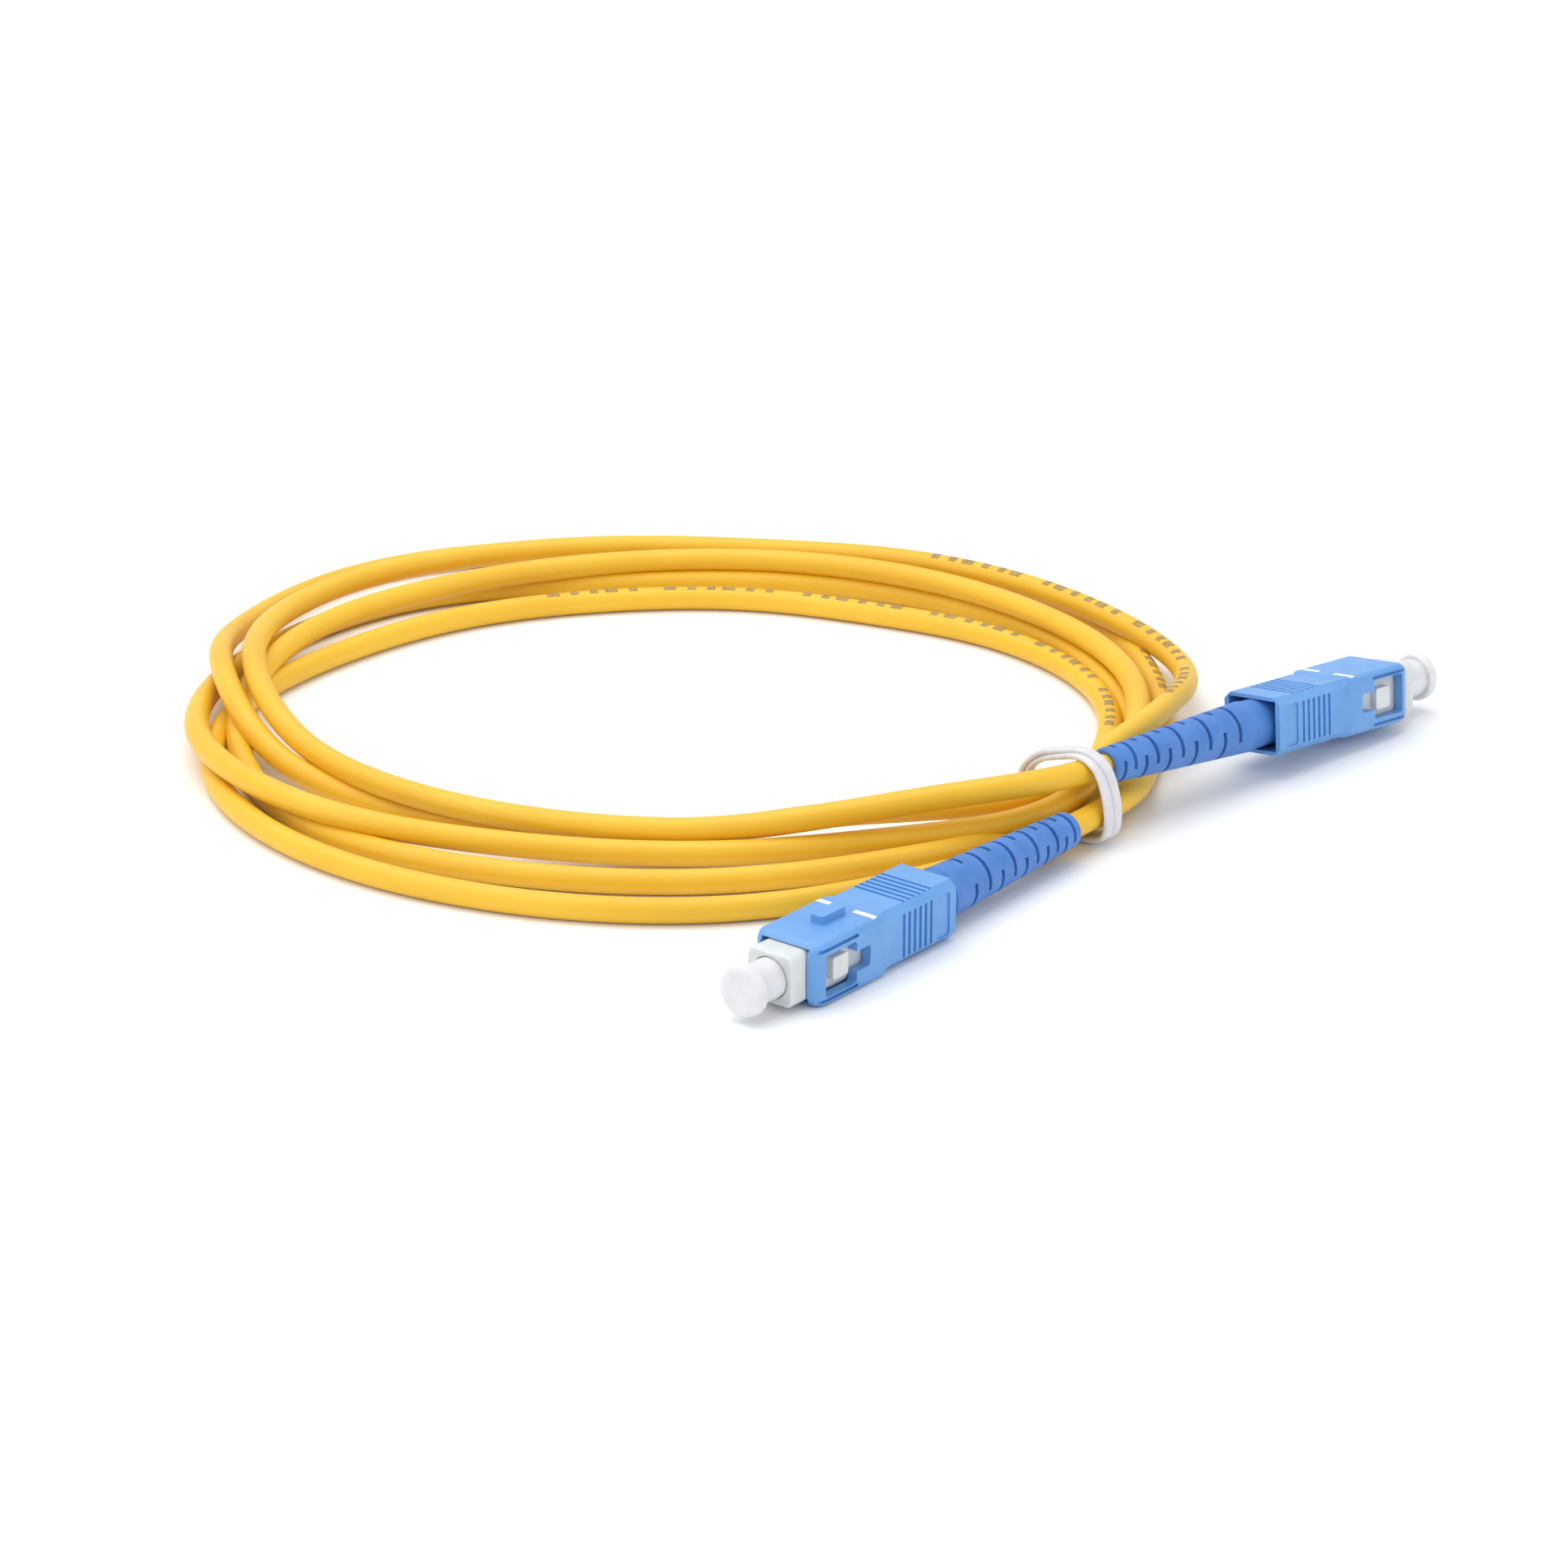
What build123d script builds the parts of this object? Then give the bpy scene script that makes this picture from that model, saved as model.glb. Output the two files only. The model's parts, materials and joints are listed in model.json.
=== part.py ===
from build123d import *
import os
from math import cos, pi, radians, sin, tan

# Simplex fiber optic patch cord, coiled and tied, with the same push-pull plug on both ends.
# Millimetres. The table is z = 0, and the origin is under the middle of the two plugs and the tie band.

# ---------------------------------------------------------------- driving dimensions: cable and coil
CABLE_D = 3.0            # jacket, outside
JACKET_BORE_D = 1.9      # jacket, inside
BUFFER_D = 0.9           # buffered fiber
COIL_TOP = 6.1           # two layers of cable
CROSSING_TOP = 3.1       # one layer of cable, where a boot lies over it
BUNDLE_TOP = 6.9         # top of the passes inside the band, under the lead to plug B
BUNDLE_BOTTOM = 0.95
BUNDLE_INNER = -4.6      # the passes inside the band, across it
BUNDLE_OUTER = 1.9
BUNDLE_BEFORE = -8.0     # the passes inside the band, along it
BUNDLE_AFTER = 2.4

# Outer and inner outline of the coil, as it lies on the table
COIL_OUTER = [
    (4.4, 9.0), (9.6, 26.0), (14.6, 54.0), (4.2, 80.0), (-20.2, 99.8), (-55.2, 106.8),
    (-87.2, 97.4), (-106.2, 74.0), (-110.9, 45.0), (-105.8, 20.0), (-95.2, 1.5), (-78.2, -14.8),
    (-52.3, -22.9), (-32.2, -20.4), (-8.8, -4.6),
]
COIL_INNER = [
    (-52.9, 4.4), (-33.2, 7.2), (-18.2, 10.0), (-7.0, 8.2), (-2.8, 14.5), (-0.1, 25.0),
    (0.3, 40.0), (-4.2, 59.0), (-23.3, 76.1), (-44.4, 83.2), (-65.4, 81.6), (-85.7, 71.5),
    (-98.2, 52.0), (-97.7, 37.0), (-86.2, 20.5), (-71.2, 9.0),
]

# ---------------------------------------------------------------- driving dimensions: tie band
BAND_CENTRE = (-3.2, 5.0)
BAND_YAW = 50.3          # direction of the cables through it
BAND_HALF_WIDTH = 6.0
BAND_HEIGHT = 11.0
BAND_LENGTH = 3.2        # along the cables
BAND_WALL = 0.8

# ---------------------------------------------------------------- driving dimensions: plug
# All plug stations are distances forward of the rear rim of the grip.
GRIP_LENGTH = 25.3
GRIP_FRONT = (9.0, 7.4)          # width, height of the front section
GRIP_REAR = (8.6, 7.1)
GRIP_REAR_END = 12.0
GRIP_FRONT_START = 13.3
GRIP_EDGE_R = 0.85
GRIP_REAR_CHAMFER = 0.9
GRIP_NOSE_R = 2.0
GRIP_CAVITY_REAR = (7.2, 6.2)
GRIP_CAVITY_FRONT = (6.5, 6.3)
KEY = (15.3, 19.5, 1.8, 0.9)     # start, end, width, height
TOP_GROOVES = (6, 3.7, 0.94, 0.42, 7.0, 0.25)    # count, first, pitch, width, length, depth
SIDE_GROOVES = (6, 4.5, 0.98, 0.45, 5.2, 0.25)
SIDE_PANEL = (1.1, 3.5, 5.2, 0.2)                # start, end, height, depth
WINDOW = (18.0, 23.4, -2.6, 2.3)                 # start, end, low, high
WINDOW_TONGUE = (15.6, 18.6, -1.3, 1.1)
GUIDE_GROOVE = (17.7, 2.92, 0.4, 0.4)            # start, distance from the middle, width, depth

FRAME_SIZE = (6.2, 6.0)
FRAME_REAR = 8.0
FRAME_FRONT = 27.5
FRAME_EDGE_R = 1.0
FRAME_REAR_BORE_D = 4.7
FRAME_FRONT_BORE_D = 4.9
FRAME_WEB = (17.5, 19.0)         # the wall that the ferrule passes through
FRAME_WEB_BORE_D = 2.7
LUG = (18.9, 21.5, 2.6, 4.0)     # start, end, height, reach from the axis

FERRULE_D = 2.5
FERRULE_REAR = 15.9
FERRULE_FRONT = 27.2
FERRULE_TIP_CHAMFER = 0.35
FLANGE_D = 4.4
FLANGE = (15.0, 17.4)
TAIL_D = 3.0
TAIL_REAR = 12.6
TAIL_BORE_D = 1.0

SPRING_D = 4.3
SPRING_WIRE_D = 0.5
SPRING_TURNS = 4.5
SPRING_REAR = 10.55

STOP_FRONT = 10.5
STOP_COLLAR = (7.0, 8.0, 6.0)    # start, end, diameter
STOP_NECK_D = 3.6
STOP_NECK_REAR = -1.0
STOP_BORE_D = 1.9
TUBE_BORE_D = 1.0
TUBE_FRONT = 10.2
YARN_D = 4.0
YARN_END = 5.5

CRIMP_D = 4.7
CRIMP_FRONT = 6.0
CRIMP_STEP = -1.2
CRIMP_TAIL_D = 3.7
CRIMP_REAR = -6.0

BOOT_HEAD_D = 6.0
BOOT_HEAD_FRONT = 6.6
BOOT_SHOULDER = -1.9
BOOT_SHOULDER_D = 6.3
BOOT_TIP = -27.0
BOOT_TIP_D = 4.35
BOOT_BORE_D = 3.1
SLOT_RINGS = 10
SLOT_FIRST = 5.7
SLOT_WIDTH = 0.55
SLOT_FLOOR_R = 1.85
SLOT_HALF_ANGLE = 62.0

CAP_STEM_D = 4.7
CAP_REAR = 19.6
CAP_BORE_D = 2.8
CAP_BORE_END = 28.4
CAP_HEAD_D = 5.95
CAP_HEAD = (31.2, 32.7)

# ---------------------------------------------------------------- where the two plugs lie
# Rear rim of the grip, yaw, pitch and roll of the plug.
PLUG_A = ("a", (-21.5, -23.15, 3.7), 231.1, 0.0, 0.0)
PLUG_B = ("b", (19.2, 25.35, 6.3), 44.9, -4.0, 172.6)

# Routes of the two stretches between the boots and the coil, after a straight start in line with the boot
LEAD_A_STRAIGHT = 7.0
LEAD_B_STRAIGHT = 6.0
LEAD_A_ROUTE = [(4.8, 14.0, 2.2), (6.9, 24.6, 1.6)]
LEAD_B_ROUTE = [(-10.6, -1.1, 8.6), (-19.5, -2.2, 7.7), (-29.3, -2.9, 6.2), (-39.4, -3.0, 4.6)]


class Plug:
    """Where one plug lies: stations along it, and its own directions."""

    def __init__(self, name, rear_rim, yaw, pitch, roll):
        self.name = name
        forward = Vector(
            cos(radians(yaw)) * cos(radians(pitch)), sin(radians(yaw)) * cos(radians(pitch)), sin(radians(pitch))
        )
        across = Vector(0, 0, 1).cross(forward).normalized()
        across = across.rotate(Axis((0, 0, 0), forward), roll)
        self.rim = Plane(origin=rear_rim, x_dir=across, z_dir=forward)
        self.forward = self.rim.z_dir
        self.across = self.rim.x_dir
        self.up = self.rim.y_dir
        self.along_axis = Axis(self.rim.origin, self.forward)
        self.up_axis = Axis(self.rim.origin, self.up)

    def at(self, station):
        """Cross-section plane at a station: x across, y up."""
        return self.rim.offset(station)

    def side(self, sign, reach):
        """Plane on one side face: y up, x forward times -sign."""
        return Plane(origin=self.rim.origin, x_dir=self.forward * -sign, z_dir=self.across * sign).offset(reach)

    def top(self, sign, reach):
        """Plane on the top or bottom face: x forward."""
        return Plane(origin=self.rim.origin, x_dir=self.forward, z_dir=self.up * sign).offset(reach)

    def lengthwise(self):
        """Plane through the axis: x forward, y up."""
        return Plane(origin=self.rim.origin, x_dir=self.forward, z_dir=self.across * -1)


def save(part, name):
    part.label = name
    export_step(part, f"parts/{name}.step")


def outline_points(pairs):
    """Closed polygon through (station, radius) pairs, ending on the axis."""
    return [(pairs[0][0], 0)] + pairs + [(pairs[-1][0], 0), (pairs[0][0], 0)]


def turned(plug, pairs, bores=()):
    """A turned piece: its outline from rear to front, with bores as (start, end, diameter)."""
    with BuildPart() as piece:
        with BuildSketch(plug.lengthwise()):
            with BuildLine():
                Polyline(*outline_points(pairs))
            make_face()
        revolve(axis=plug.along_axis)
        for start, end, diameter in bores:
            with BuildSketch(plug.at(start)):
                Circle(diameter / 2)
            extrude(amount=end - start, mode=Mode.SUBTRACT)
    return piece


def make_grip(plug):
    recesses = grip_recesses(plug)
    with BuildPart() as grip:
        with BuildSketch(plug.at(0)):
            Rectangle(*GRIP_REAR)
            chamfer(vertices(), length=GRIP_REAR_CHAMFER)
        extrude(amount=GRIP_REAR_END)
        with BuildSketch(plug.at(GRIP_REAR_END)):
            Rectangle(*GRIP_REAR)
            chamfer(vertices(), length=GRIP_REAR_CHAMFER)
        with BuildSketch(plug.at(GRIP_FRONT_START)):
            Rectangle(*GRIP_FRONT)
            chamfer(vertices(), length=GRIP_EDGE_R * 0.7)
        loft()
        with BuildSketch(plug.at(GRIP_FRONT_START)):
            RectangleRounded(*GRIP_FRONT, GRIP_EDGE_R)
        extrude(amount=GRIP_LENGTH - GRIP_FRONT_START)
        front = grip.faces().sort_by(plug.along_axis)[-1]
        fillet(front.edges().filter_by(plug.up_axis), radius=GRIP_NOSE_R)
        start, end, width, height = KEY
        with BuildSketch(plug.top(1, GRIP_FRONT[1] / 2 - 0.3)):
            with Locations(((start + end) / 2, 0)):
                RectangleRounded(end - start, width, 0.35)
        extrude(amount=height + 0.3)
        with BuildSketch(plug.at(0)):
            Rectangle(*GRIP_CAVITY_REAR)
        extrude(amount=GRIP_REAR_END, mode=Mode.SUBTRACT)
        with BuildSketch(plug.at(GRIP_REAR_END)):
            Rectangle(*GRIP_CAVITY_FRONT)
        extrude(amount=GRIP_LENGTH - GRIP_REAR_END, mode=Mode.SUBTRACT)
        add(recesses.part, mode=Mode.SUBTRACT)
    return grip


def grip_recesses(plug):
    """What is cut out of the grip's faces: grooves, recessed panels, windows and guide grooves."""
    rear_width, rear_height = GRIP_REAR
    front_reach = GRIP_FRONT[0] / 2
    over = 0.5
    with BuildPart() as recesses:
        for sign in (-1, 1):
            count, first, pitch, width, length, depth = TOP_GROOVES
            with BuildSketch(plug.top(sign, rear_height / 2 - depth)):
                with Locations((first + pitch * (count - 1) / 2, 0)):
                    with GridLocations(pitch, 1, count, 1):
                        RectangleRounded(width, length, width * 0.45)
            extrude(amount=depth + over)
            count, first, pitch, width, length, depth = SIDE_GROOVES
            with BuildSketch(plug.side(sign, rear_width / 2 - depth)):
                with Locations((-sign * (first + pitch * (count - 1) / 2), 0)):
                    with GridLocations(pitch, 1, count, 1):
                        RectangleRounded(width, length, width * 0.45)
            extrude(amount=depth + over)
            start, end, height, depth = SIDE_PANEL
            with BuildSketch(plug.side(sign, rear_width / 2 - depth)):
                with Locations((-sign * (start + end) / 2, 0)):
                    RectangleRounded(end - start, height, 0.5)
            extrude(amount=depth + over)
            with BuildSketch(plug.side(sign, GRIP_CAVITY_FRONT[0] / 2 - 0.2)):
                for start, end, low, high in (WINDOW, WINDOW_TONGUE):
                    with Locations((-sign * (start + end) / 2, (low + high) / 2)):
                        RectangleRounded(end - start, high - low, 0.4)
            extrude(amount=front_reach - GRIP_CAVITY_FRONT[0] / 2 + 0.2 + over)
            start, offset_up, width, depth = GUIDE_GROOVE
            with BuildSketch(plug.side(sign, front_reach - depth)):
                with Locations(*[(-sign * (start + GRIP_LENGTH + 1) / 2, up * offset_up) for up in (-1, 1)]):
                    Rectangle(GRIP_LENGTH + 1 - start, width)
            extrude(amount=depth + over)
    return recesses


def make_plug_frame(plug):
    with BuildPart() as frame:
        with BuildSketch(plug.at(FRAME_REAR)):
            RectangleRounded(*FRAME_SIZE, FRAME_EDGE_R)
        extrude(amount=FRAME_FRONT - FRAME_REAR)
        chamfer(frame.faces().sort_by(plug.along_axis)[-1].edges(), length=0.2)
        start, end, height, reach = LUG
        for sign in (-1, 1):
            with BuildSketch(plug.side(sign, FRAME_SIZE[0] / 2 - 0.3)):
                with Locations((-sign * (start + end) / 2, 0)):
                    RectangleRounded(end - start, height, 0.3)
            extrude(amount=reach - FRAME_SIZE[0] / 2 + 0.3)
        web_rear, web_front = FRAME_WEB
        bores = (
            (FRAME_REAR, web_rear, FRAME_REAR_BORE_D),
            (web_rear, web_front, FRAME_WEB_BORE_D),
            (web_front, FRAME_FRONT, FRAME_FRONT_BORE_D),
        )
        for start, end, diameter in bores:
            with BuildSketch(plug.at(start)):
                Circle(diameter / 2)
            extrude(amount=end - start, mode=Mode.SUBTRACT)
    return frame


def make_dust_cap(plug):
    stem_r = CAP_STEM_D / 2
    head_r = CAP_HEAD_D / 2
    head_rear, head_front = CAP_HEAD
    with BuildPart() as cap:
        with BuildSketch(plug.at(CAP_REAR)):
            Circle(stem_r)
        extrude(amount=head_rear - CAP_REAR)
        with BuildSketch(plug.at(head_rear)):
            Circle(head_r)
        extrude(amount=head_front - head_rear)
        rims = cap.edges().filter_by(GeomType.CIRCLE).group_by(SortBy.RADIUS)[-1].sort_by(plug.along_axis)
        fillet(rims[-1], radius=0.65)
        fillet(rims[0], radius=0.3)
        with BuildSketch(plug.at(CAP_REAR)):
            Circle(CAP_BORE_D / 2)
        extrude(amount=CAP_BORE_END - CAP_REAR, mode=Mode.SUBTRACT)
    return cap


def make_ferrule(plug):
    radius = FERRULE_D / 2
    tip_start = FERRULE_FRONT - FERRULE_TIP_CHAMFER
    pairs = [
        (FERRULE_REAR, radius),
        (tip_start, radius),
        (FERRULE_FRONT, radius - FERRULE_TIP_CHAMFER),
    ]
    return turned(plug, pairs)


def make_ferrule_flange(plug):
    flange_rear, flange_front = FLANGE
    pairs = [
        (TAIL_REAR, TAIL_D / 2),
        (flange_rear, TAIL_D / 2),
        (flange_rear, FLANGE_D / 2),
        (flange_front - 0.3, FLANGE_D / 2),
        (flange_front, FLANGE_D / 2 - 0.3),
    ]
    bores = (
        (TAIL_REAR, FERRULE_REAR, TAIL_BORE_D),
        (FERRULE_REAR, flange_front, FERRULE_D),
    )
    return turned(plug, pairs, bores)


def make_ferrule_spring(plug):
    wire_r = SPRING_WIRE_D / 2
    mean_r = SPRING_D / 2 - wire_r
    rear = SPRING_REAR + wire_r
    length = FLANGE[0] - 0.05 - wire_r - rear
    with BuildPart() as spring:
        with BuildLine() as wire:
            Helix(
                pitch=length / SPRING_TURNS,
                height=length,
                radius=mean_r,
                center=plug.at(rear).origin,
                direction=plug.forward,
            )
        with BuildSketch(Plane(origin=wire.line @ 0, z_dir=wire.line % 0)):
            Circle(wire_r)
        sweep(is_frenet=True)
    return spring


def make_spring_stop(plug):
    collar_rear, collar_front, collar_d = STOP_COLLAR
    barrel_r = FRAME_REAR_BORE_D / 2
    neck_r = STOP_NECK_D / 2
    pairs = [
        (STOP_NECK_REAR, neck_r),
        (collar_rear, neck_r),
        (collar_rear, collar_d / 2),
        (collar_front, collar_d / 2),
        (collar_front, barrel_r),
        (STOP_FRONT - 0.3, barrel_r),
        (STOP_FRONT, barrel_r - 0.3),
    ]
    return turned(plug, pairs, [(STOP_NECK_REAR, STOP_FRONT, STOP_BORE_D)])


def make_inner_tube(plug):
    pairs = [(STOP_NECK_REAR, STOP_BORE_D / 2), (TUBE_FRONT, STOP_BORE_D / 2)]
    return turned(plug, pairs, [(STOP_NECK_REAR, TUBE_FRONT, TUBE_BORE_D)])


def make_aramid_yarn(plug):
    pairs = [(STOP_NECK_REAR, YARN_D / 2), (YARN_END, YARN_D / 2)]
    return turned(plug, pairs, [(STOP_NECK_REAR, YARN_END, STOP_NECK_D)])


def make_crimp_ring(plug):
    pairs = [
        (CRIMP_REAR, CRIMP_TAIL_D / 2),
        (CRIMP_STEP - 0.4, CRIMP_TAIL_D / 2),
        (CRIMP_STEP, CRIMP_D / 2),
        (CRIMP_FRONT, CRIMP_D / 2),
    ]
    bores = ((CRIMP_REAR, STOP_NECK_REAR, CABLE_D), (STOP_NECK_REAR, CRIMP_FRONT, YARN_D))
    return turned(plug, pairs, bores)


def make_buffered_fiber(plug):
    pairs = [(BOOT_TIP, BUFFER_D / 2), (TAIL_REAR + 0.9, BUFFER_D / 2)]
    return turned(plug, pairs)


def make_jacket_stub(plug):
    pairs = [(BOOT_TIP, CABLE_D / 2), (STOP_NECK_REAR, CABLE_D / 2)]
    return turned(plug, pairs, [(BOOT_TIP, STOP_NECK_REAR, JACKET_BORE_D)])


def slot_distance(ring):
    """Distance of a slot ring behind the rim: the rings close up towards the tip."""
    return SLOT_FIRST + 2.75 * ring - 0.06 * ring ** 2


def make_boot(plug):
    pairs = [
        (BOOT_TIP, BOOT_TIP_D / 2 - 0.25),
        (BOOT_TIP + 0.25, BOOT_TIP_D / 2),
        (BOOT_SHOULDER - 0.15, BOOT_SHOULDER_D / 2),
        (BOOT_SHOULDER, BOOT_HEAD_D / 2),
        (BOOT_HEAD_FRONT, BOOT_HEAD_D / 2),
    ]
    bores = (
        (BOOT_TIP, CRIMP_REAR, BOOT_BORE_D),
        (CRIMP_REAR, CRIMP_STEP, CRIMP_TAIL_D + 0.1),
        (CRIMP_STEP - 0.4, BOOT_HEAD_FRONT, CRIMP_D + 0.1),
    )
    body = turned(plug, pairs, bores)
    with BuildPart() as boot:
        add(body.part)
        for ring in range(SLOT_RINGS):
            first = 45 if ring % 2 else 135
            with BuildSketch(plug.at(-slot_distance(ring) - SLOT_WIDTH / 2)):
                for middle in (first, first + 180):
                    with BuildLine():
                        slot_outline(middle)
                    make_face()
            extrude(amount=SLOT_WIDTH, mode=Mode.SUBTRACT)
    return boot


def slot_outline(middle):
    """Arc-shaped slot, open outwards, around one direction of the boot's section."""
    reach = BOOT_SHOULDER_D / 2 + 0.4
    angles = (middle - SLOT_HALF_ANGLE, middle, middle + SLOT_HALF_ANGLE)
    floor = [(SLOT_FLOOR_R * cos(radians(a)), SLOT_FLOOR_R * sin(radians(a))) for a in angles]
    rim = [(reach * cos(radians(a)), reach * sin(radians(a))) for a in angles]
    ThreePointArc(*floor)
    Line(floor[2], rim[2])
    ThreePointArc(rim[2], rim[1], rim[0])
    Line(rim[0], floor[0])


def band_plane(along):
    """Cross-section plane through the tie band: x outwards from the coil, y up."""
    direction = Vector(cos(radians(BAND_YAW)), sin(radians(BAND_YAW)), 0)
    outwards = Vector(sin(radians(BAND_YAW)), -cos(radians(BAND_YAW)), 0)
    origin = Vector(*BAND_CENTRE, 0) + direction * along
    return Plane(origin=origin, x_dir=outwards, z_dir=-direction)


def make_tie_band():
    middle_up = BAND_HEIGHT / 2
    with BuildPart() as band:
        with BuildSketch(band_plane(BAND_LENGTH / 2)):
            with Locations((0, middle_up)):
                RectangleRounded(2 * BAND_HALF_WIDTH, BAND_HEIGHT, 3.0)
                RectangleRounded(
                    2 * (BAND_HALF_WIDTH - BAND_WALL), BAND_HEIGHT - 2 * BAND_WALL, 2.2, mode=Mode.SUBTRACT
                )
        extrude(amount=BAND_LENGTH)
    return band


def make_cable_coil(plug_a, plug_b):
    """Outer shape of the five tied turns, clear of the band, the boots and the plugs."""
    with BuildPart() as coil:
        with BuildSketch():
            for outline, mode in ((COIL_OUTER, Mode.ADD), (COIL_INNER, Mode.SUBTRACT)):
                with BuildLine():
                    Spline(*outline, periodic=True)
                make_face(mode=mode)
        extrude(amount=COIL_TOP)
        clearance = BAND_LENGTH / 2 + 0.4
        with BuildSketch(band_plane(clearance)):
            with Locations((0, BAND_HEIGHT / 2)):
                Rectangle(20, BAND_HEIGHT + 2)
        extrude(amount=2 * clearance, mode=Mode.SUBTRACT)
        with BuildSketch(band_plane(BUNDLE_AFTER)):
            with Locations(((BUNDLE_INNER + BUNDLE_OUTER) / 2, (BUNDLE_BOTTOM + BUNDLE_TOP) / 2)):
                RectangleRounded(BUNDLE_OUTER - BUNDLE_INNER, BUNDLE_TOP - BUNDLE_BOTTOM, 1.4)
        extrude(amount=BUNDLE_AFTER - BUNDLE_BEFORE)
        with BuildSketch(plug_a.at(BOOT_TIP - 1.0)):
            Circle(BOOT_SHOULDER_D / 2 + 0.5)
        extrude(amount=-BOOT_TIP + 2.0, mode=Mode.SUBTRACT)
        with BuildSketch(Plane.XY.offset(CROSSING_TOP)):
            with BuildLine():
                Polyline(*boot_corridor(plug_b), close=True)
            make_face()
        extrude(amount=COIL_TOP, mode=Mode.SUBTRACT)
    return coil


def boot_corridor(plug):
    """Plan of the strip that the boot of a plug lies in, with room beside it."""
    half = BOOT_SHOULDER_D / 2 + 1.0
    ahead = Vector(plug.forward.X, plug.forward.Y, 0).normalized()
    beside = Vector(-ahead.Y, ahead.X, 0)
    rim = Vector(plug.rim.origin.X, plug.rim.origin.Y, 0)
    rear = rim + ahead * (BOOT_TIP - 0.3)
    front = rim + ahead * 6.0
    corners = (rear + beside * half, front + beside * half, front - beside * half, rear - beside * half)
    return [(corner.X, corner.Y) for corner in corners]


def make_lead(plug, straight_length, route):
    """A stretch of cable from a boot's tip into the coil: straight runs joined by tangent arcs."""
    straight = [plug.at(BOOT_TIP).origin, plug.at(BOOT_TIP - straight_length).origin]
    points = straight + [Vector(*point) for point in route]
    runs = [end - start for start, end in zip(points, points[1:])]
    radii = []
    for before, after in zip(runs, runs[1:]):
        turn = radians(before.get_angle(after))
        radii.append(0.45 * min(before.length, after.length) / tan(turn / 2))
    print("cable radii", plug.name, [round(radius, 1) for radius in radii])
    with BuildPart() as lead:
        with BuildLine() as path:
            FilletPolyline(*points, radius=radii)
        with BuildSketch(Plane(origin=points[0], z_dir=runs[0])):
            Circle(CABLE_D / 2)
        sweep()
    length = sum(edge.length for edge in path.edges())
    expected = pi * CABLE_D ** 2 / 4 * length
    print("cable lead", plug.name, round(length, 2), round(lead.part.volume / expected, 4))
    return lead


PLUG_PIECES = {
    "grip": make_grip,
    "plug_frame": make_plug_frame,
    "dust_cap": make_dust_cap,
    "ferrule": make_ferrule,
    "ferrule_flange": make_ferrule_flange,
    "ferrule_spring": make_ferrule_spring,
    "spring_stop": make_spring_stop,
    "inner_tube": make_inner_tube,
    "aramid_yarn": make_aramid_yarn,
    "crimp_ring": make_crimp_ring,
    "buffered_fiber": make_buffered_fiber,
    "jacket_stub": make_jacket_stub,
    "boot": make_boot,
}

os.makedirs("parts", exist_ok=True)
plug_a = Plug(*PLUG_A)
plug_b = Plug(*PLUG_B)
for plug in (plug_a, plug_b):
    for piece_name, make_piece in PLUG_PIECES.items():
        save(make_piece(plug).part, f"{piece_name}_{plug.name}")
    print("plug", plug.name, "forward", [round(value, 5) for value in plug.forward])
save(make_tie_band().part, "tie_band")
save(make_cable_coil(plug_a, plug_b).part, "cable_coil")
save(make_lead(plug_a, LEAD_A_STRAIGHT, LEAD_A_ROUTE).part, "cable_lead_a")
save(make_lead(plug_b, LEAD_B_STRAIGHT, LEAD_B_ROUTE).part, "cable_lead_b")
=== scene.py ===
import json
from math import atan2, cos, degrees, exp, pi, radians, sin, sqrt

import bpy
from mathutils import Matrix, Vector


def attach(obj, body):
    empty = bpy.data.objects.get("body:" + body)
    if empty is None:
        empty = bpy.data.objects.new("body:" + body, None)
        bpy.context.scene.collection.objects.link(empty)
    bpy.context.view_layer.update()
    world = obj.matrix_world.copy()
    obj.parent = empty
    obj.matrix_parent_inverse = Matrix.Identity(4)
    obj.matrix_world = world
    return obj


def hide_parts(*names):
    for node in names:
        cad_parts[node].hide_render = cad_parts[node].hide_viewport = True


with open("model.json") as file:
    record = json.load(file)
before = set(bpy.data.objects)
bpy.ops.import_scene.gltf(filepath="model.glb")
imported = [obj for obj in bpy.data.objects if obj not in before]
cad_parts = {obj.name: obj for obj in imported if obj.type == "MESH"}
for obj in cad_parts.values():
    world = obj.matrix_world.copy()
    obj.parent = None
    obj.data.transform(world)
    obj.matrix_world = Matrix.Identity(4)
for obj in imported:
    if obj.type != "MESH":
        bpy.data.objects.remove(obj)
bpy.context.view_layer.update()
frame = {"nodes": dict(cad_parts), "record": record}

MM = 0.001

# ---------------------------------------------------------------- places shared with the CAD model, in metres
CABLE_D = 0.003
BOOT_TIP = -0.027
PLUG_A_RIM = Vector((-0.0215, -0.02315, 0.0037))
PLUG_B_RIM = Vector((0.0192, 0.02535, 0.0063))
PLUG_A_YAW, PLUG_A_PITCH, PLUG_A_ROLL = 231.1, 0.0, 0.0
PLUG_B_YAW, PLUG_B_PITCH, PLUG_B_ROLL = 44.9, -4.0, 172.6
LEAD_A_STRAIGHT = 0.007
LEAD_B_STRAIGHT = 0.006
LEAD_A_ROUTE = [(0.0048, 0.0140, 0.0022), (0.0069, 0.0246, 0.0016)]
LEAD_B_ROUTE = [
    (-0.0106, -0.0011, 0.0086), (-0.0195, -0.0022, 0.0077), (-0.0293, -0.0029, 0.0062), (-0.0394, -0.0030, 0.0046),
]

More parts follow.
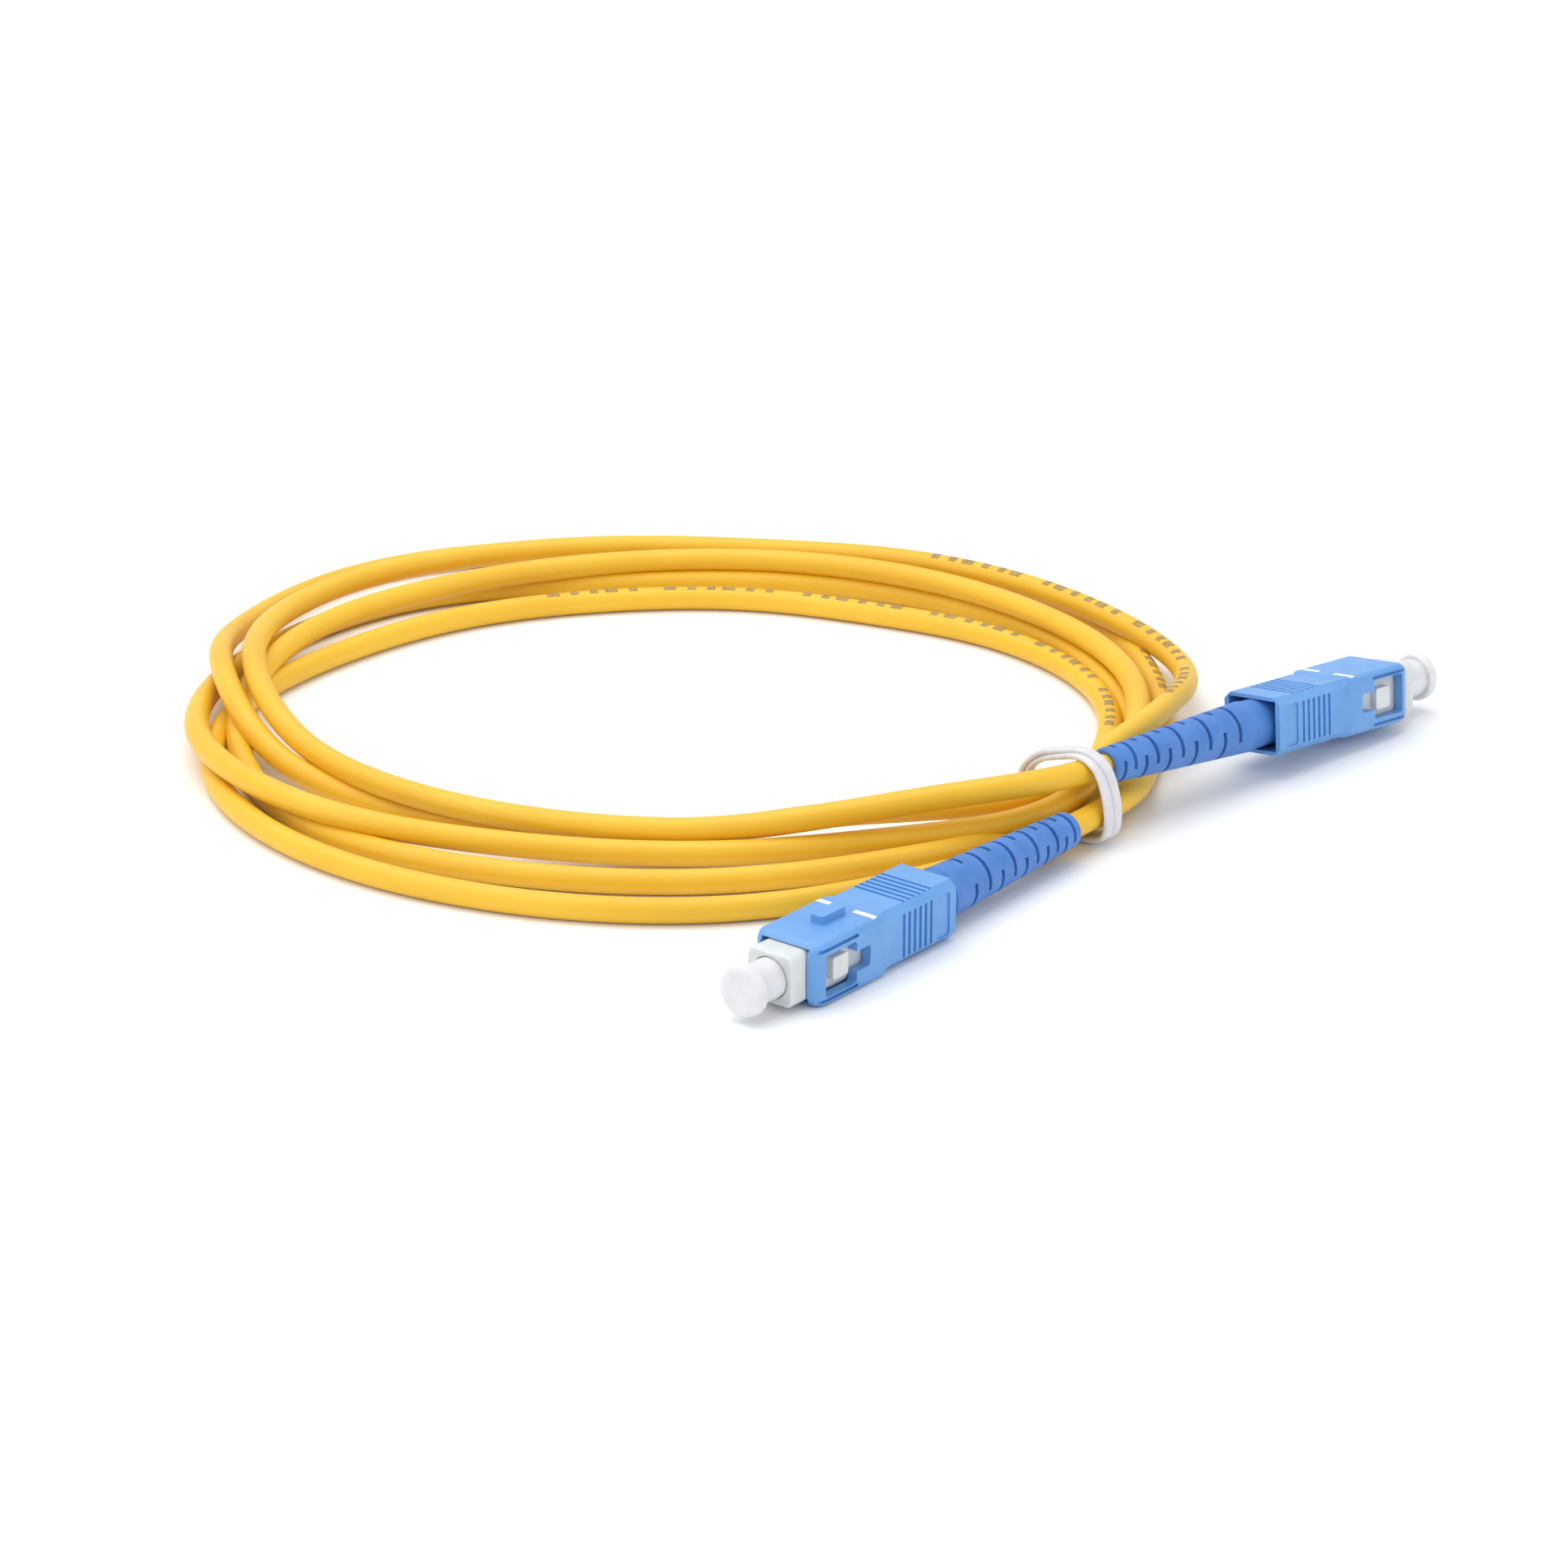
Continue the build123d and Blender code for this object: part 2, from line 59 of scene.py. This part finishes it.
# ---------------------------------------------------------------- the coil: five loose turns, in millimetres
COIL_CENTRE = (-49.2, 42.0)
BAND_CENTRE = (-3.2, 5.0)
BAND_YAW = 50.3
BAND_ANGLE = -38.8          # where the band is, seen from the coil's centre
STEP = 24.0                 # angle between two entries of a turn
FINE_STEP = 8.0             # angle between two control points
JOIN_A, JOIN_B = 1.3, 1.0   # gap between each lead and the turns, in fine steps
# Each turn starts at the band: distance from the coil's centre and height of the cable's middle
TURNS = [
    [(63.0, 3.7), (59.0, 2.0), (59.5, 1.5), (62.5, 1.5), (64.0, 1.5), (62.5, 1.5), (65.0, 1.5), (69.0, 1.5),
     (64.5, 2.8), (57.8, 6.2), (52.4, 2.8), (46.9, 1.5), (41.8, 1.5), (39.5, 1.5), (42.5, 3.2)],
    [(54.8, 4.2), (52.8, 2.2), (51.8, 1.5), (48.3, 1.5), (43.7, 1.5), (43.0, 1.5), (43.3, 1.5), (46.0, 1.5),
     (49.5, 1.5), (55.5, 1.5), (60.5, 1.5), (62.5, 1.5), (63.0, 1.5), (63.0, 1.5), (60.5, 1.5)],
    [(60.0, 2.2), (56.5, 4.2), (55.2, 4.4), (53.0, 4.4), (52.0, 4.3), (51.0, 4.2), (50.3, 4.2), (51.3, 4.2),
     (53.6, 4.2), (54.8, 3.4), (56.3, 1.6), (57.6, 1.5), (55.6, 1.5), (54.7, 1.5), (55.0, 1.8)],
    [(57.5, 1.6), (56.5, 1.5), (54.0, 1.5), (53.5, 1.5), (52.3, 1.5), (50.0, 1.5), (50.0, 1.5), (56.0, 1.5),
     (58.5, 1.5), (59.8, 2.9), (60.8, 4.6), (57.2, 4.1), (49.7, 2.6), (47.5, 2.0), (50.0, 2.4)],
    [(60.2, 4.3), (58.5, 6.4), (63.2, 3.6), (59.6, 4.5), (57.4, 4.5), (54.8, 4.4), (57.0, 4.4), (60.5, 4.4),
     (58.5, 5.5), (53.9, 6.9), (49.5, 4.5), (47.3, 4.4), (45.0, 3.9), (44.5, 3.7), (46.0, 4.2)],
]
# Just past the band the last turn swings inwards and up over the others: angle, half width, change of each
SWING = (1410.5, 8.0, -3.2, 2.0)


def metres(*values):
    return tuple(value * MM for value in values)


# ---------------------------------------------------------------- camera
CAMERA_PLACE = Vector((-0.0372, -0.5230, 0.2145))
CAMERA_DOWN = 21.5
camera_data = bpy.data.cameras.new("camera")
camera_data.lens = 111.8
camera_data.sensor_width = 36.0
camera_data.clip_start = 0.01
camera_data.clip_end = 20.0
camera = bpy.data.objects.new("camera", camera_data)
camera.location = CAMERA_PLACE
camera.rotation_euler = (radians(90.0 - CAMERA_DOWN), 0.0, 0.0)
bpy.context.scene.collection.objects.link(camera)
bpy.context.scene.camera = camera


# ---------------------------------------------------------------- where a plug's own directions point
class Plug:
    """Rear rim of one plug's grip, with its forward, across and up directions."""

    def __init__(self, name, rim, yaw, pitch, roll):
        self.name = name
        self.rim = rim
        self.forward = Vector((
            cos(radians(yaw)) * cos(radians(pitch)), sin(radians(yaw)) * cos(radians(pitch)), sin(radians(pitch))
        ))
        level = Vector((0, 0, 1)).cross(self.forward).normalized()
        upright = self.forward.cross(level)
        self.across = level * cos(radians(roll)) + upright * sin(radians(roll))
        self.up = self.forward.cross(self.across)

    def at(self, station, across=0.0, up=0.0):
        return self.rim + self.forward * station + self.across * across + self.up * up


plug_a = Plug("a", PLUG_A_RIM, PLUG_A_YAW, PLUG_A_PITCH, PLUG_A_ROLL)
plug_b = Plug("b", PLUG_B_RIM, PLUG_B_YAW, PLUG_B_PITCH, PLUG_B_ROLL)


# ---------------------------------------------------------------- the cable: one smooth cord from boot to boot
def between(values, place):
    """Smooth value of a list at a fractional place (Catmull-Rom)."""
    base = min(int(place), len(values) - 2)
    t = place - base
    p0 = values[max(base - 1, 0)]
    p1, p2 = values[base], values[base + 1]
    p3 = values[min(base + 2, len(values) - 1)]
    rise = p2 - p0
    last = p3 - p1
    return p1 + 0.5 * t * (rise + t * (6 * (p2 - p1) - 2 * rise - last + t * (4 * (p1 - p2) + rise + last)))


def coil_points(first_angle, last_angle):
    """Control points of the turns, from the first to the last angle."""
    entries = [entry for turn in TURNS for entry in turn]
    radii = [radius for radius, height in entries]
    heights = [height for radius, height in entries]
    points = []
    angle = first_angle
    while angle <= last_angle:
        place = (angle - BAND_ANGLE) / STEP
        swing = exp(-((angle - SWING[0]) / SWING[1]) ** 2)
        radius = between(radii, place) + SWING[2] * swing
        height = max(between(heights, place) + SWING[3] * swing, CABLE_D / MM / 2)
        x = COIL_CENTRE[0] + radius * cos(radians(angle))
        y = COIL_CENTRE[1] + radius * sin(radians(angle))
        points.append(metres(x, y, height))
        angle += FINE_STEP
    return points


def coil_angle(point):
    return degrees(atan2(point[1] / MM - COIL_CENTRE[1], point[0] / MM - COIL_CENTRE[0]))


def cord_points():
    start = [plug_a.at(BOOT_TIP), plug_a.at(BOOT_TIP - LEAD_A_STRAIGHT)] + LEAD_A_ROUTE
    end = [plug_b.at(BOOT_TIP), plug_b.at(BOOT_TIP - LEAD_B_STRAIGHT)] + LEAD_B_ROUTE
    first_angle = coil_angle(LEAD_A_ROUTE[-1]) + JOIN_A * FINE_STEP
    last_angle = 360.0 * len(TURNS) + coil_angle(LEAD_B_ROUTE[-1]) - JOIN_B * FINE_STEP
    return start + coil_points(first_angle, last_angle) + end[::-1]


def nurbs_curve(name, points):
    data = bpy.data.curves.new(name, "CURVE")
    data.dimensions = "3D"
    spline = data.splines.new("NURBS")
    spline.points.add(len(points) - 1)
    for control, point in zip(spline.points, points):
        control.co = (*point, 1.0)
    spline.order_u = 3
    spline.use_endpoint_u = True
    data.resolution_u = 10
    piece = bpy.data.objects.new(name, data)
    bpy.context.scene.collection.objects.link(piece)
    return piece


def spline_line(piece):
    """Points along a curve's own line."""
    line = bpy.data.meshes.new_from_object(piece)
    points = [vertex.co.copy() for vertex in line.vertices]
    bpy.data.meshes.remove(line)
    return points


cable = nurbs_curve("cable", cord_points())
cable_line = spline_line(cable)
cable.data.bevel_depth = CABLE_D / 2
cable.data.bevel_resolution = 8
cable.data.use_fill_caps = True


# ---------------------------------------------------------------- materials
class Material:
    """A node material with a Principled shader, and short calls for what feeds it."""

    def __init__(self, name, roughness, **sockets):
        self.material = bpy.data.materials.new(name)
        self.material.use_nodes = True
        self.nodes = self.material.node_tree.nodes
        self.links = self.material.node_tree.links
        self.shader = self.nodes["Principled BSDF"]
        self.shader.inputs["Roughness"].default_value = roughness
        for socket, value in sockets.items():
            self.shader.inputs[socket.replace("_", " ")].default_value = value
        self.coords = self.nodes.new("ShaderNodeTexCoord").outputs["Object"]

    def noise(self, per_mm, detail=3.0, roughness=0.55):
        node = self.nodes.new("ShaderNodeTexNoise")
        node.inputs["Scale"].default_value = per_mm / MM
        node.inputs["Detail"].default_value = detail
        node.inputs["Roughness"].default_value = roughness
        self.links.new(self.coords, node.inputs["Vector"])
        return node.outputs["Fac"]

    def ramp(self, value, *stops):
        """Colour or value ramp: stops are (position, colour)."""
        node = self.nodes.new("ShaderNodeValToRGB")
        elements = node.color_ramp.elements
        while len(elements) < len(stops):
            elements.new(0.5)
        for element, (position, colour) in zip(elements, stops):
            element.position = position
            element.color = (*colour, 1.0)
        self.links.new(value, node.inputs["Fac"])
        return node.outputs["Color"]

    def colour(self, value, low, high, at=(0.35, 0.65)):
        self.links.new(self.ramp(value, (at[0], low), (at[1], high)), self.shader.inputs["Base Color"])

    def roughness(self, value, low, high):
        node = self.nodes.new("ShaderNodeMapRange")
        node.inputs["From Min"].default_value = 0.3
        node.inputs["From Max"].default_value = 0.7
        node.inputs["To Min"].default_value = low
        node.inputs["To Max"].default_value = high
        self.links.new(value, node.inputs["Value"])
        self.links.new(node.outputs["Result"], self.shader.inputs["Roughness"])

    def bump(self, *layers):
        """Layers of relief: (height source, depth in millimetres)."""
        normal = None
        for value, depth in layers:
            node = self.nodes.new("ShaderNodeBump")
            node.inputs["Strength"].default_value = 1.0
            node.inputs["Distance"].default_value = depth * MM
            self.links.new(value, node.inputs["Height"])
            if normal is not None:
                self.links.new(normal, node.inputs["Normal"])
            normal = node.outputs["Normal"]
        self.links.new(normal, self.shader.inputs["Normal"])


def jacket_material():
    """Satin yellow PVC: faint colour drift along the cable, fine matt grain."""
    material = Material("jacket_pvc", 0.42, Subsurface_Weight=0.06, Subsurface_Scale=0.001, Specular_IOR_Level=0.45)
    material.shader.inputs["Subsurface Radius"].default_value = (1.0, 0.45, 0.1)
    drift = material.noise(0.05, 2.0)
    material.colour(drift, (0.79, 0.450, 0.018), (0.84, 0.505, 0.028))
    material.roughness(material.noise(0.6, 4.0), 0.36, 0.50)
    material.bump((material.noise(0.9, 3.0), 0.010), (material.noise(14.0, 2.0), 0.006))
    return material.material


def grip_material():
    """Moulded light blue plastic with a fine spark-eroded grain and slightly duller patches."""
    material = Material("grip_plastic", 0.38, Subsurface_Weight=0.08, Subsurface_Scale=0.0006)
    material.shader.inputs["Subsurface Radius"].default_value = (0.3, 0.6, 1.0)
    material.colour(material.noise(0.18, 3.0), (0.115, 0.310, 0.660), (0.140, 0.345, 0.710))
    material.roughness(material.noise(0.9, 4.0), 0.30, 0.46)
    material.bump((material.noise(1.6, 3.0), 0.006), (material.noise(16.0, 2.0), 0.006))
    return material.material


def boot_material():
    """Matt blue elastomer, darker than the grip, with flow mottling."""
    material = Material("boot_rubber", 0.52, Specular_IOR_Level=0.4)
    material.colour(material.noise(0.35, 4.0), (0.062, 0.190, 0.520), (0.085, 0.230, 0.590))
    material.roughness(material.noise(1.2, 4.0), 0.46, 0.60)
    material.bump((material.noise(1.4, 3.0), 0.010), (material.noise(12.0, 2.0), 0.008))
    return material.material


def white_material(name, low, high, roughness, weight, scale):
    """Translucent white moulding: light passes a little way in, faint cloudiness and grain."""
    material = Material(name, roughness, Subsurface_Weight=weight, Subsurface_Scale=scale, Specular_IOR_Level=0.5)
    material.shader.inputs["Subsurface Radius"].default_value = (1.0, 1.0, 1.0)
    material.colour(material.noise(0.5, 3.0), low, high)
    material.roughness(material.noise(1.3, 3.0), roughness - 0.06, roughness + 0.08)
    material.bump((material.noise(1.5, 3.0), 0.008), (material.noise(11.0, 2.0), 0.004))
    return material.material


def metal_material(name, low, high, roughness, grain):
    """Turned or plated metal: fine tool marks and tarnish drift."""
    material = Material(name, roughness, Metallic=1.0)
    material.colour(material.noise(0.7, 4.0), low, high)
    material.roughness(material.noise(2.0, 4.0), roughness - 0.06, roughness + 0.10)
    material.bump((material.noise(grain, 3.0), 0.006))
    return material.material


def fibre_material(name, low, high, per_mm):
    """Matt yarn or buffer plastic."""
    material = Material(name, 0.7)
    material.colour(material.noise(per_mm, 4.0), low, high)
    material.bump((material.noise(per_mm * 3.0, 3.0), 0.02))
    return material.material


def print_material():
    """Pad-printed white: slightly broken up by the plastic's grain."""
    material = Material("print_white", 0.55)
    material.colour(material.noise(5.0, 3.0), (0.62, 0.70, 0.82), (0.93, 0.94, 0.95), at=(0.28, 0.42))
    material.bump((material.noise(12.0, 2.0), 0.005))
    return material.material


def ink_material():
    """Grey-brown cable ink, worn thin in places."""
    material = Material("legend_ink", 0.6)
    material.colour(material.noise(2.2, 4.0), (0.30, 0.20, 0.07), (0.48, 0.32, 0.08), at=(0.4, 0.7))
    material.bump((material.noise(12.0, 2.0), 0.004))
    return material.material


MATERIALS = {
    "jacket_pvc": jacket_material(),
    "grip_plastic": grip_material(),
    "boot_rubber": boot_material(),
    "frame_plastic": white_material("frame_plastic", (0.62, 0.64, 0.63), (0.69, 0.71, 0.70), 0.36, 0.25, 0.0010),
    "cap_plastic": white_material("cap_plastic", (0.67, 0.66, 0.68), (0.73, 0.72, 0.74), 0.40, 0.35, 0.0014),
    "band_rubber": white_material("band_rubber", (0.62, 0.61, 0.64), (0.72, 0.71, 0.73), 0.32, 0.35, 0.0010),
    "ceramic": white_material("ceramic", (0.88, 0.87, 0.83), (0.92, 0.91, 0.88), 0.18, 0.10, 0.0004),
    "nickel_brass": metal_material("nickel_brass", (0.66, 0.65, 0.61), (0.74, 0.73, 0.70), 0.28, 4.0),
    "spring_steel": metal_material("spring_steel", (0.52, 0.52, 0.53), (0.62, 0.62, 0.63), 0.30, 8.0),
    "crimp_aluminium": metal_material("crimp_aluminium", (0.74, 0.74, 0.74), (0.82, 0.82, 0.83), 0.38, 3.0),
    "tube_plastic": white_material("tube_plastic", (0.84, 0.84, 0.81), (0.89, 0.89, 0.87), 0.45, 0.20, 0.0006),
    "aramid": fibre_material("aramid", (0.72, 0.52, 0.12), (0.88, 0.70, 0.26), 3.0),
    "buffer_plastic": fibre_material("buffer_plastic", (0.80, 0.80, 0.74), (0.88, 0.88, 0.83), 1.5),
}


def dress(piece, slot):
    """Gives a piece the material that the slot names."""
    piece.data.materials.clear()
    piece.data.materials.append(MATERIALS[slot])


for subpart in frame["record"]["subparts"]:
    node = frame["nodes"][subpart["node"]]
    for holder in node.material_slots:
        holder.material = MATERIALS[subpart["material_slot"]]


# ---------------------------------------------------------------- pieces on the cable
def cable_frames():
    """Length so far, place, direction and upward normal along the cable."""
    frames = []
    travelled = 0.0
    for index, place in enumerate(cable_line):
        before = cable_line[max(index - 1, 0)]
        after = cable_line[min(index + 1, len(cable_line) - 1)]
        if index:
            travelled += (place - cable_line[index - 1]).length
        direction = (after - before).normalized()
        side = direction.cross(Vector((0, 0, 1))).normalized()
        frames.append((travelled, place, direction, side.cross(direction)))
    return frames


def frame_at(frames, distance):
    low, high = 0, len(frames) - 1
    while high - low > 1:
        middle = (low + high) // 2
        if frames[middle][0] <= distance:
            low = middle
        else:
            high = middle
    start, end = frames[low], frames[high]
    share = (distance - start[0]) / (end[0] - start[0])
    return [start[k].lerp(end[k], share) for k in (1, 2, 3)]


def mesh_piece(name, vertices, faces, smooth=True):
    mesh = bpy.data.meshes.new(name)
    mesh.from_pydata(vertices, [], faces)
    mesh.validate()
    mesh.update()
    for polygon in mesh.polygons:
        polygon.use_smooth = smooth
    piece = bpy.data.objects.new(name, mesh)
    bpy.context.scene.collection.objects.link(piece)
    return piece


INK_LIFT = 0.00002
TICK_GAP = 0.0026
TICK_ARC = 46.0
TICK_ROWS = 6
TICK_GROUP = 7                  # every seventh place is left empty
TICK_SHORT, TICK_LONG = 0.0011, 0.0017


def legend_ticks(name, frames, start, count, roll):
    """Row of plain marks printed along the jacket: groups of short bars, at one side of the cable."""
    vertices, faces = [], []
    radius = CABLE_D / 2 + INK_LIFT
    for number in range(count):
        if number % TICK_GROUP == TICK_GROUP - 1:
            continue
        length = TICK_SHORT if number % 3 else TICK_LONG
        begin = start + number * TICK_GAP
        first = len(vertices)
        for step in range(3):
            place, direction, up = frame_at(frames, begin + length * step / 2)
            side = direction.cross(up)
            for row in range(TICK_ROWS + 1):
                angle = radians(roll + TICK_ARC * (row / TICK_ROWS - 0.5))
                vertices.append(place + (up * cos(angle) + side * sin(angle)) * radius)
        for step in range(2):
            for row in range(TICK_ROWS):
                corner = first + step * (TICK_ROWS + 1) + row
                faces.append((corner, corner + 1, corner + TICK_ROWS + 2, corner + TICK_ROWS + 1))
    piece = mesh_piece(name, vertices, faces)
    piece.data.materials.append(ink_material())
    return piece


frames = cable_frames()
# Name, distance from boot A, number of places, and turn about the cable, outwards, in degrees
LEGENDS = [("legend_first", 0.052, 14, 20.0), ("legend_inner", 0.395, 40, 0.0), ("legend_outer", 1.425, 28, -10.0)]
legends = [legend_ticks(name, frames, start, count, roll) for name, start, count, roll in LEGENDS]
for piece in legends:
    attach(piece, "root")

dress(cable, "jacket_pvc")
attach(cable, "root")
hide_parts("cable_coil", "cable_lead_a", "cable_lead_b")


# ---------------------------------------------------------------- tie band: one soft band wound twice
BAND_OUTLINE = [
    (-0.6, 0.45), (2.6, 0.50), (4.9, 1.4), (5.5, 3.6), (5.0, 6.4), (3.6, 9.2), (1.2, 10.5),
    (-1.8, 10.0), (-5.4, 8.6), (-7.4, 6.0), (-6.3, 2.8), (-3.8, 0.8),
]
BAND_STRAND = (0.80, 0.38)       # half width along the cables, half thickness
BAND_SPREAD = 0.78
BAND_LAP = 0.36
BAND_PHASE = 150.0               # where the two windings cross, in degrees
BAND_WAVE = 0.10                 # unevenness along the cables
BAND_MIDDLE = 5.4                # height of the outline's middle
BAND_SECTIONS = 192
BAND_SIDES = 16


def closed_spline(points, share):
    """Point on a smooth closed curve through the points (Catmull-Rom)."""
    count = len(points)
    place = share % 1.0 * count
    base = int(place)
    t = place - base
    p0, p1, p2, p3 = (points[(base + k) % count] for k in (-1, 0, 1, 2))
    result = []
    for a, b, c, d in zip(p0, p1, p2, p3):
        result.append(b + 0.5 * t * (c - a + t * (2 * a - 5 * b + 4 * c - d + t * (3 * (b - c) + d - a))))
    return result


def make_band():
    along = Vector((cos(radians(BAND_YAW)), sin(radians(BAND_YAW)), 0))
    outwards = Vector((sin(radians(BAND_YAW)), -cos(radians(BAND_YAW)), 0))
    middle = Vector((*metres(*BAND_CENTRE), 0.0))
    vertices, faces = [], []
    for section in range(BAND_SECTIONS):
        turn = 2.0 * section / BAND_SECTIONS
        r, z = closed_spline(BAND_OUTLINE, turn)
        r_next, z_next = closed_spline(BAND_OUTLINE, turn + 0.002)
        tangent = (outwards * (r_next - r) + Vector((0, 0, z_next - z))).normalized()
        outer = tangent.cross(along)
        if outer.dot(outwards * r + Vector((0, 0, z - BAND_MIDDLE))) < 0:
            outer = -outer
        phase = pi * turn + radians(BAND_PHASE)
        offset = BAND_SPREAD * cos(phase) + BAND_WAVE * sin(6 * pi * turn)
        lift = BAND_LAP * sin(phase) * (1 - abs(cos(phase))) ** 0.5
        centre = middle + along * offset * MM + outwards * r * MM + Vector((0, 0, z * MM)) + outer * (lift * MM)
        for side in range(BAND_SIDES):
            angle = 2 * pi * side / BAND_SIDES
            width = BAND_STRAND[0] * (abs(cos(angle)) ** 0.7) * (1 if cos(angle) > 0 else -1)
            depth = BAND_STRAND[1] * (abs(sin(angle)) ** 0.7) * (1 if sin(angle) > 0 else -1)
            vertices.append(centre + along * width * MM + outer * depth * MM)
    for section in range(BAND_SECTIONS):
        following = (section + 1) % BAND_SECTIONS
        for side in range(BAND_SIDES):
            beside = (side + 1) % BAND_SIDES
            faces.append((
                section * BAND_SIDES + side, section * BAND_SIDES + beside,
                following * BAND_SIDES + beside, following * BAND_SIDES + side,
            ))
    return mesh_piece("band", vertices, faces)


band = make_band()
dress(band, "band_rubber")
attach(band, "root")
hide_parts("tie_band")


# ---------------------------------------------------------------- white marks on the grips
MARK_START, MARK_END = 13.9, 14.65
MARK_INNER, MARK_OUTER = 1.15, 4.05
GRIP_HALF_WIDTH, GRIP_HALF_HEIGHT, GRIP_EDGE_R = 4.5, 3.7, 0.85
MARK_STEPS = 12
MARK_LIFT = 0.015


def grip_top(across):
    """Height of the grip's rounded top at a distance across it, in millimetres."""
    past = abs(across) - (GRIP_HALF_WIDTH - GRIP_EDGE_R)
    if past <= 0:
        return GRIP_HALF_HEIGHT
    return GRIP_HALF_HEIGHT - GRIP_EDGE_R + sqrt(GRIP_EDGE_R ** 2 - past ** 2)


def grip_marks(plug):
    vertices, faces = [], []
    for face in (-1, 1):
        for side in (-1, 1):
            first = len(vertices)
            for step in range(MARK_STEPS + 1):
                across = side * (MARK_INNER + (MARK_OUTER - MARK_INNER) * step / MARK_STEPS)
                up = face * (grip_top(across) + MARK_LIFT)
                for station in (MARK_START, MARK_END):
                    vertices.append(plug.at(*metres(station, across, up)))
            for step in range(MARK_STEPS):
                corner = first + 2 * step
                faces.append((corner, corner + 1, corner + 3, corner + 2))
    piece = mesh_piece(f"grip_marks_{plug.name}", vertices, faces)
    piece.data.materials.append(print_material())
    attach(piece, f"grip_{plug.name}")
    return piece


for plug in (plug_a, plug_b):
    grip_marks(plug)


# ---------------------------------------------------------------- floor and light
def make_floor():
    size = 3.0
    floor = mesh_piece(
        "floor", [(-size, -size, 0), (size, -size, 0), (size, size, 0), (-size, size, 0)], [(0, 1, 2, 3)], smooth=False
    )
    material = Material("floor", 0.8)
    material.shader.inputs["Base Color"].default_value = (0.93, 0.93, 0.93, 1.0)
    floor.data.materials.append(material.material)
    floor.location.z = -0.00005


def area_light(name, place, target, size, power):
    data = bpy.data.lights.new(name, "AREA")
    data.shape = "SQUARE"
    data.size = size
    data.energy = power
    light = bpy.data.objects.new(name, data)
    light.location = place
    light.rotation_euler = (Vector(target) - Vector(place)).to_track_quat("-Z", "Y").to_euler()
    bpy.context.scene.collection.objects.link(light)


make_floor()
TARGET = (-0.03, 0.03, 0.0)
area_light("key", (-0.20, 0.15, 0.75), TARGET, 0.90, 4.4)
area_light("fill_left", (-0.80, -0.45, 0.45), TARGET, 0.60, 1.6)
area_light("fill_right", (0.75, -0.55, 0.40), TARGET, 0.60, 1.2)

world = bpy.data.worlds.new("world")
world.use_nodes = True
world.node_tree.nodes["Background"].inputs["Color"].default_value = (0.95, 0.97, 1.0, 1.0)
world.node_tree.nodes["Background"].inputs["Strength"].default_value = 0.80
bpy.context.scene.world = world
bpy.context.scene.view_settings.view_transform = "Standard"
